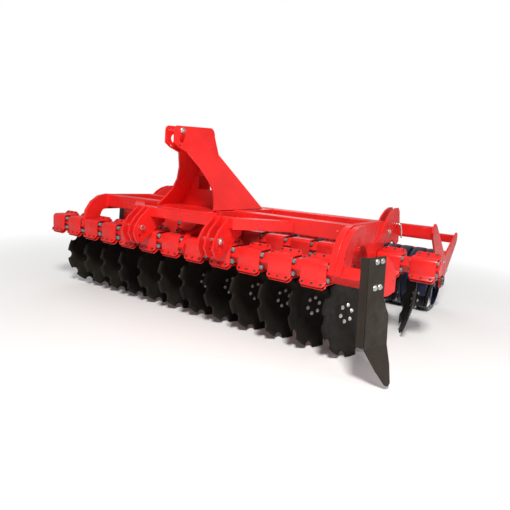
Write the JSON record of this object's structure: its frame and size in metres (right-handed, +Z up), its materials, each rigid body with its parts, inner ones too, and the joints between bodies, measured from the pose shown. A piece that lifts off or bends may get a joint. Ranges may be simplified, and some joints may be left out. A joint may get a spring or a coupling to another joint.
{
  "type": "compact disc harrow",
  "caption": "Tractor-mounted disc harrow with two rows of notched discs on rubber-sprung arms, a three-point headstock, side deflectors and a rear packer roller.",
  "frame": {"origin": "on the ground under the middle of the machine's plan view", "axes": "+X towards the machine's right end seen from behind the tractor, +Y backwards to the roller, +Z up"},
  "size_m": [3.45, 2.7935, 1.5329],
  "materials": {
    "red_paint": "glossy signal red paint with scuffs",
    "disc_steel": "satin black paint on steel discs",
    "black_paint": "satin black-brown paint",
    "roller_paint": "satin dark navy paint",
    "zinc_plate": "bright zinc plate"
  },
  "bodies": {
    "frame": {"front_disc_gang": "red_paint", "rear_disc_gang": "red_paint", "front_cross_tube": "red_paint", "rear_cross_tube": "red_paint", "front_hitch_tube": "red_paint", "diagonal_brace_left": "red_paint", "diagonal_brace_right": "red_paint", "front_rail_left": "red_paint", "front_rail_right": "red_paint", "rear_rail_left": "red_paint", "rear_rail_right": "red_paint", "side_arch_left": "red_paint", "side_arch_right": "red_paint", "front_beam_hanger": "red_paint", "rear_beam_hanger": "red_paint", "headstock_plate_left": "red_paint", "headstock_plate_right": "red_paint", "headstock_back_plate": "red_paint", "top_link_pin": "zinc_plate", "lower_hitch_left": "red_paint", "lower_hitch_right": "red_paint", "depth_pin_left": "zinc_plate", "depth_pin_right": "zinc_plate", "deflector_bracket_left": "red_paint", "deflector_bracket_right": "red_paint", "side_deflector_left": "black_paint", "side_deflector_right": "black_paint"},
    "front_disc_01": {"front_disc_01": "disc_steel"},
    "front_disc_02": {"front_disc_02": "disc_steel"},
    "front_disc_03": {"front_disc_03": "disc_steel"},
    "front_disc_04": {"front_disc_04": "disc_steel"},
    "front_disc_05": {"front_disc_05": "disc_steel"},
    "front_disc_06": {"front_disc_06": "disc_steel"},
    "front_disc_07": {"front_disc_07": "disc_steel"},
    "front_disc_08": {"front_disc_08": "disc_steel"},
    "front_disc_09": {"front_disc_09": "disc_steel"},
    "front_disc_10": {"front_disc_10": "disc_steel"},
    "front_disc_11": {"front_disc_11": "disc_steel"},
    "front_disc_12": {"front_disc_12": "disc_steel"},
    "rear_disc_01": {"rear_disc_01": "disc_steel"},
    "rear_disc_02": {"rear_disc_02": "disc_steel"},
    "rear_disc_03": {"rear_disc_03": "disc_steel"},
    "rear_disc_04": {"rear_disc_04": "disc_steel"},
    "rear_disc_05": {"rear_disc_05": "disc_steel"},
    "rear_disc_06": {"rear_disc_06": "disc_steel"},
    "rear_disc_07": {"rear_disc_07": "disc_steel"},
    "rear_disc_08": {"rear_disc_08": "disc_steel"},
    "rear_disc_09": {"rear_disc_09": "disc_steel"},
    "rear_disc_10": {"rear_disc_10": "disc_steel"},
    "rear_disc_11": {"rear_disc_11": "disc_steel"},
    "rear_disc_12": {"rear_disc_12": "disc_steel"},
    "roller_frame": {"roller_front_tube": "red_paint", "roller_rear_tube": "red_paint", "scraper_bar": "red_paint", "roller_end_plate_left": "red_paint", "roller_end_plate_right": "red_paint", "roller_arm_left": "red_paint", "roller_arm_right": "red_paint"},
    "packer_roller": {"packer_roller": "roller_paint"}
  },
  "joints": [
    {"name": "front_disc_01_spin", "type": "hinge", "parent": "frame", "child": "front_disc_01", "pos_m": [-1.505, -0.845, 0.2878], "axis": [0.9403, -0.3238, 0.1045], "continuous": true},
    {"name": "front_disc_02_spin", "type": "hinge", "parent": "frame", "child": "front_disc_02", "pos_m": [-1.255, -0.845, 0.2878], "axis": [0.9403, -0.3238, 0.1045], "continuous": true},
    {"name": "front_disc_03_spin", "type": "hinge", "parent": "frame", "child": "front_disc_03", "pos_m": [-1.005, -0.845, 0.2878], "axis": [0.9403, -0.3238, 0.1045], "continuous": true},
    {"name": "front_disc_04_spin", "type": "hinge", "parent": "frame", "child": "front_disc_04", "pos_m": [-0.755, -0.845, 0.2878], "axis": [0.9403, -0.3238, 0.1045], "continuous": true},
    {"name": "front_disc_05_spin", "type": "hinge", "parent": "frame", "child": "front_disc_05", "pos_m": [-0.505, -0.845, 0.2878], "axis": [0.9403, -0.3238, 0.1045], "continuous": true},
    {"name": "front_disc_06_spin", "type": "hinge", "parent": "frame", "child": "front_disc_06", "pos_m": [-0.255, -0.845, 0.2878], "axis": [0.9403, -0.3238, 0.1045], "continuous": true},
    {"name": "front_disc_07_spin", "type": "hinge", "parent": "frame", "child": "front_disc_07", "pos_m": [-0.005, -0.845, 0.2878], "axis": [0.9403, -0.3238, 0.1045], "continuous": true},
    {"name": "front_disc_08_spin", "type": "hinge", "parent": "frame", "child": "front_disc_08", "pos_m": [0.245, -0.845, 0.2878], "axis": [0.9403, -0.3238, 0.1045], "continuous": true},
    {"name": "front_disc_09_spin", "type": "hinge", "parent": "frame", "child": "front_disc_09", "pos_m": [0.495, -0.845, 0.2878], "axis": [0.9403, -0.3238, 0.1045], "continuous": true},
    {"name": "front_disc_10_spin", "type": "hinge", "parent": "frame", "child": "front_disc_10", "pos_m": [0.745, -0.845, 0.2878], "axis": [0.9403, -0.3238, 0.1045], "continuous": true},
    {"name": "front_disc_11_spin", "type": "hinge", "parent": "frame", "child": "front_disc_11", "pos_m": [0.995, -0.845, 0.2878], "axis": [0.9403, -0.3238, 0.1045], "continuous": true},
    {"name": "front_disc_12_spin", "type": "hinge", "parent": "frame", "child": "front_disc_12", "pos_m": [1.245, -0.845, 0.2878], "axis": [0.9403, -0.3238, 0.1045], "continuous": true},
    {"name": "rear_disc_01_spin", "type": "hinge", "parent": "frame", "child": "rear_disc_01", "pos_m": [-1.245, -0.039, 0.2878], "axis": [-0.9403, -0.3238, 0.1045], "continuous": true},
    {"name": "rear_disc_02_spin", "type": "hinge", "parent": "frame", "child": "rear_disc_02", "pos_m": [-0.995, -0.039, 0.2878], "axis": [-0.9403, -0.3238, 0.1045], "continuous": true},
    {"name": "rear_disc_03_spin", "type": "hinge", "parent": "frame", "child": "rear_disc_03", "pos_m": [-0.745, -0.039, 0.2878], "axis": [-0.9403, -0.3238, 0.1045], "continuous": true},
    {"name": "rear_disc_04_spin", "type": "hinge", "parent": "frame", "child": "rear_disc_04", "pos_m": [-0.495, -0.039, 0.2878], "axis": [-0.9403, -0.3238, 0.1045], "continuous": true},
    {"name": "rear_disc_05_spin", "type": "hinge", "parent": "frame", "child": "rear_disc_05", "pos_m": [-0.245, -0.039, 0.2878], "axis": [-0.9403, -0.3238, 0.1045], "continuous": true},
    {"name": "rear_disc_06_spin", "type": "hinge", "parent": "frame", "child": "rear_disc_06", "pos_m": [0.005, -0.039, 0.2878], "axis": [-0.9403, -0.3238, 0.1045], "continuous": true},
    {"name": "rear_disc_07_spin", "type": "hinge", "parent": "frame", "child": "rear_disc_07", "pos_m": [0.255, -0.039, 0.2878], "axis": [-0.9403, -0.3238, 0.1045], "continuous": true},
    {"name": "rear_disc_08_spin", "type": "hinge", "parent": "frame", "child": "rear_disc_08", "pos_m": [0.505, -0.039, 0.2878], "axis": [-0.9403, -0.3238, 0.1045], "continuous": true},
    {"name": "rear_disc_09_spin", "type": "hinge", "parent": "frame", "child": "rear_disc_09", "pos_m": [0.755, -0.039, 0.2878], "axis": [-0.9403, -0.3238, 0.1045], "continuous": true},
    {"name": "rear_disc_10_spin", "type": "hinge", "parent": "frame", "child": "rear_disc_10", "pos_m": [1.005, -0.039, 0.2878], "axis": [-0.9403, -0.3238, 0.1045], "continuous": true},
    {"name": "rear_disc_11_spin", "type": "hinge", "parent": "frame", "child": "rear_disc_11", "pos_m": [1.255, -0.039, 0.2878], "axis": [-0.9403, -0.3238, 0.1045], "continuous": true},
    {"name": "rear_disc_12_spin", "type": "hinge", "parent": "frame", "child": "rear_disc_12", "pos_m": [1.505, -0.039, 0.2878], "axis": [-0.9403, -0.3238, 0.1045], "continuous": true},
    {"name": "roller_frame_pivot", "type": "hinge", "parent": "frame", "child": "roller_frame", "pos_m": [0, -0.175, 0.82], "axis": [1, 0, 0], "range_deg": [-12, 0]},
    {"name": "packer_roller_spin", "type": "hinge", "parent": "roller_frame", "child": "packer_roller", "pos_m": [0, 0.845, 0.3], "axis": [1, 0, 0], "continuous": true}
  ]
}
